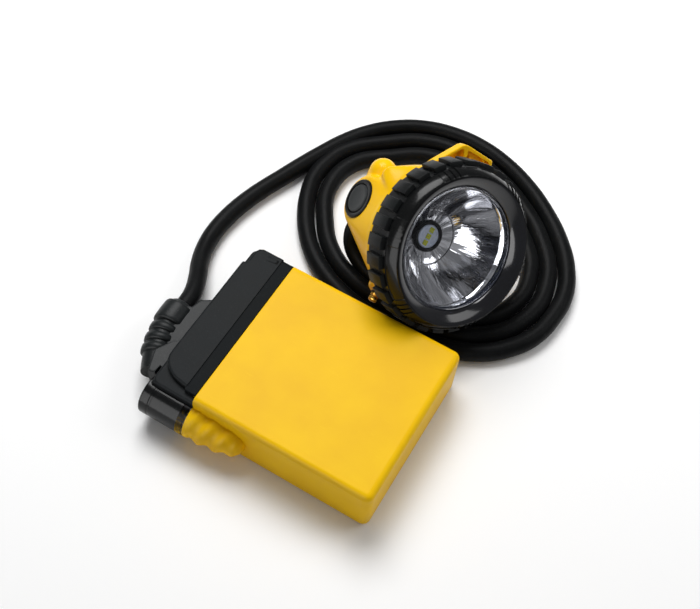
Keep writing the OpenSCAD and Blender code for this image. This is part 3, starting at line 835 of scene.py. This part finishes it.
def make_reflector():
    heights = [BOWL_FLOOR + BOWL_DEPTH * (i / 26) ** 2 for i in range(27)]
    inside = []
    for z in heights:
        inside.append((bowl(z), z))
        if abs(bowl(z) - BOWL_STEP_R) < 0.45:
            inside += [(bowl(z) + 0.12, z + 0.55), (bowl(z) + 0.75, z + 0.6)]
    outside = [(r + 0.9, z - 0.4) for r, z in reversed(inside)]
    profile = inside + [(28.2, -4.7), (30.4, -4.5), (30.4, -5.9)] + outside
    bm = turned(profile, 160, closed=True)
    keep(bm, "reflector_bowl", "chrome", ["reflector"], place=HEAD, sharp=25)
    collar = turned([(5.75, -26.6), (5.75, -25.7), (6.1, -25.3), (7.3, -24.9),
                     (7.5, -25.2), (7.4, -26.6)], 72, closed=True)
    keep(collar, "light_collar", "ring", place=HEAD, sharp=40)


def make_light():
    disc = turned([(0, -25.55), (4.3, -25.55), (4.4, -25.4), (4.7, -25.25),
                   (5.3, -25.3), (5.6, -25.6), (5.6, -26.8), (0, -26.8)], 72)
    keep(disc, "light_disc", "ceramic", ["led_package"], place=HEAD)
    dies = bmesh.new()
    for i in (-1, 0, 1):
        die = block((-1.25, i * DIE_PITCH - 1.25, -25.6),
                    (1.25, i * DIE_PITCH + 1.25, -25.15), 0.15, 2)
        add(dies, die, Matrix.Rotation(math.radians(DIE_TURN), 4, "Z"))
    keep(dies, "light_dies", "phosphor", ["led_dies"], place=HEAD)


def make_switch():
    place = HEAD @ towards(SWITCH, SWITCH + Vector((1, 0, 0)))
    ring = turned([(7.1, -2.9), (9.4, -2.9), (9.4, 0.2), (9.2, 0.7), (8.8, 0.95),
                   (7.7, 0.95), (7.3, 0.75), (7.1, 0.3)], 96, closed=True)
    keep(ring, "switch_rim", "ring", ["switch_ring"], place=place, sharp=30)
    # the groove underneath leaves room for the spring when the button is pressed
    cap = turned([(0, -3), (2.5, -3), (2.5, -1.8), (3.9, -1.8), (3.9, -3), (6.9, -3),
                  (6.75, 0.5), (6.55, 1.0), (6.1, 1.2), (5.4, 1.15), (4.6, 0.95),
                  (2.4, 0.72), (0, 0.66)], 96)
    add(cap, turned([(0, -8.2), (1.6, -8.2), (1.6, -2.9), (0, -2.9)], 32))
    keep(cap, "switch_cap", "button", ["switch_button"], place=place,
         body="button", sharp=40)


def make_hook():
    """The plate with its two pockets, and behind it the block and the tongue."""
    front = plate([(20.5, -29.1), (18, -32.6), (8.6, -43.9), (6.9, -45), (5, -45.2),
                   (-9.6, -44.4), (-11.1, -43.8), (-12.7, -39.5), (-12.5, -33.6),
                   (15, -33.6)], -24.5, -20)
    roll(front, 0.5, lambda a, b: min(a.z, b.z) > -20.1, 3)
    deep = plate([(17.6, -31.2), (8.3, -42.2), (7.2, -42.9), (6.6, -42.2), (4.6, -38),
                  (5.4, -36.8), (12, -32.2)], -23.9, -15)
    shallow = plate([(4.6, -43.3), (-8.8, -42.9), (-10.2, -42), (-11.2, -39.4),
                     (-11.2, -37), (2.4, -37)], -22, -15)
    eye = stem((2.4, -40.5, -24), (2.4, -40.5, -15), 1.4, 1.4, 32)
    front = carved(front, deep, shallow, eye)
    curb = turned([(3.6, -23), (3.6, -20.6), (3.8, -20.3), (4.2, -20.3), (4.4, -20.6),
                   (4.4, -23)], 48, closed=True)
    half = bmesh.ops.bisect_plane(curb, geom=curb.verts[:] + curb.edges[:] + curb.faces[:],
                                  plane_co=(0, 0, 0), plane_no=(1, 0.5, 0),
                                  clear_inner=False, clear_outer=True)
    edges = [e for e in half["geom_cut"] if isinstance(e, bmesh.types.BMEdge)]
    bmesh.ops.contextual_create(curb, geom=edges)
    clean(curb)
    add(front, curb, Matrix.Translation((-3.4, -39.6, 0)))
    back = block((-12.2, -44.2, -29), (5.4, -33.6, -24.4), 0.8, 3)
    add(front, back)
    tongue = block((-14.4, -45, -42), (-5, -42.2, -24.2), 0.8, 3)
    add(front, tongue)
    keep(front, "hook_bracket", "head", ["helmet_hook"], place=HEAD,
         sharp=30)


def make_pin():
    place = HEAD @ towards(PIN_START, PIN_TIP)
    length = (PIN_TIP - PIN_START).length
    bm = turned([(0, 0), (1.2, 0), (1.2, 5.6), (2.1, 5.65), (2.35, 5.9), (2.35, 6.6),
                 (2.0, 6.9), (2.0, 7.4), (2.25, 7.7), (2.2, length - 0.8),
                 (1.9, length - 0.25), (1.4, length), (0, length + 0.1)], 48)
    keep(bm, "pin_head", "brass", ["contact_pin"], place=place, sharp=40)
    sleeve = turned([(1.25, 0.3), (1.85, 0.3), (1.85, 5), (2.6, 5.05), (2.7, 5.35),
                     (1.25, 5.4)], 48, closed=True)
    keep(sleeve, "pin_sleeve", "ring", ["pin_insulator"], place=place,
         sharp=40)


# ---- small parts and carried-over nodes ------------------------------------

CARRIED = {
    "steel": ("lid_screws", "lock_screw", "switch_spring", "hook_screws",
              "bezel_lock_screw"),
    "seal": ("lid_seal", "lens_seal"),
    "wrap": ("cells",),
    "cradle": ("cell_cradle",),
    "nickel": ("cell_straps",),
    "board": ("protection_board", "driver_board"),
    "chip": ("board_parts", "cable_clamp", "driver_parts", "micro_switch"),
    "wire": ("pack_leads", "head_leads"),
    "white board": ("led_board",),
    "alu": ("heat_sink",),
}


def finish_carried():
    for finish, names in CARRIED.items():
        for name in names:
            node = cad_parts[name]
            node.data.materials.clear()
            node.data.materials.append(FINISHES[finish])


# ---- cord, camera, lights ---------------------------------------------------

def make_camera():
    data = bpy.data.cameras.new("camera")
    data.lens = CAMERA_LENS
    camera = bpy.data.objects.new("camera", data)
    right, up, back = CAMERA_RIGHT, CAMERA_UP, CAMERA_BACK
    turn = Matrix((right, up, back)).transposed().to_4x4()
    camera.matrix_world = Matrix.Translation(CAMERA_AT) @ turn
    bpy.context.collection.objects.link(camera)
    bpy.context.scene.camera = camera


def make_cord():
    """The cord as one smooth bent line, round all the way."""
    curve = bpy.data.curves.new("flex", "CURVE")
    curve.dimensions = "3D"
    curve.bevel_depth = CORD_R * MM
    curve.bevel_resolution = 5
    curve.resolution_u = 6
    curve.use_fill_caps = True
    line = curve.splines.new("BEZIER")
    line.bezier_points.add(len(ROUTE) - 1)
    for point, place in zip(line.bezier_points, ROUTE):
        point.co = [value * MM for value in place]
        point.handle_left_type = "AUTO"
        point.handle_right_type = "AUTO"
    curve.materials.append(FINISHES["cord"])
    flex = bpy.data.objects.new("flex", curve)
    bpy.context.collection.objects.link(flex)
    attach(flex, "lamp")
    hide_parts("cord")


WORLD_LIGHT = 0.24


def make_stage():
    """Pale floor, soft studio light and a panel that only reflections show."""
    bm = bmesh.new()
    bmesh.ops.create_grid(bm, x_segments=2, y_segments=2, size=3.0)
    mesh = bpy.data.meshes.new("floor")
    bm.to_mesh(mesh)
    bm.free()
    made = Finish("floor white", Specular_IOR_Level=0.2, Roughness=0.9)
    tone = made.place.noise(3, 2, 0.5)
    made.feed(Base_Color=tone.mix((0.96, 0.96, 0.96, 1), (0.98, 0.98, 0.98, 1)))
    mesh.materials.append(made.material)
    floor = bpy.data.objects.new("floor", mesh)
    bpy.context.collection.objects.link(floor)
    bpy.context.scene.view_settings.view_transform = "Standard"
    world = bpy.data.worlds.new("studio")
    bpy.context.scene.world = world
    world.use_nodes = True
    background = world.node_tree.nodes["Background"]
    background.inputs["Color"].default_value = (1, 1, 1, 1)
    background.inputs["Strength"].default_value = WORLD_LIGHT
    soft_light("key", (-0.34, 0.40, 0.88), (0.0, 0.05, 0.02), 0.60, 10.0)
    soft_light("fill", (0.50, 0.45, 0.60), (0.0, 0.05, 0.02), 0.4, 1.2)
    front = soft_light("front", (-0.20, -0.95, 0.45), (0.03, 0.07, 0.05), 1.1, 15.0)
    front.visible_diffuse = False


def soft_light(name, place, aim, size, power):
    """A square panel of light that faces aim."""
    data = bpy.data.lights.new(name, "AREA")
    data.shape = "SQUARE"
    data.size = size
    data.energy = power
    lamp = bpy.data.objects.new(name, data)
    lamp.location = place
    way = Vector(aim) - Vector(place)
    lamp.rotation_euler = way.to_track_quat("-Z", "Y").to_euler()
    bpy.context.collection.objects.link(lamp)
    return lamp


FINISHES = make_finishes()
make_camera()
make_cord()
make_case()
make_lid()
make_boot()
make_head_boot()
make_body()
make_bezel()
make_lens()
make_reflector()
make_light()
make_switch()
make_hook()
make_pin()
finish_carried()
make_stage()
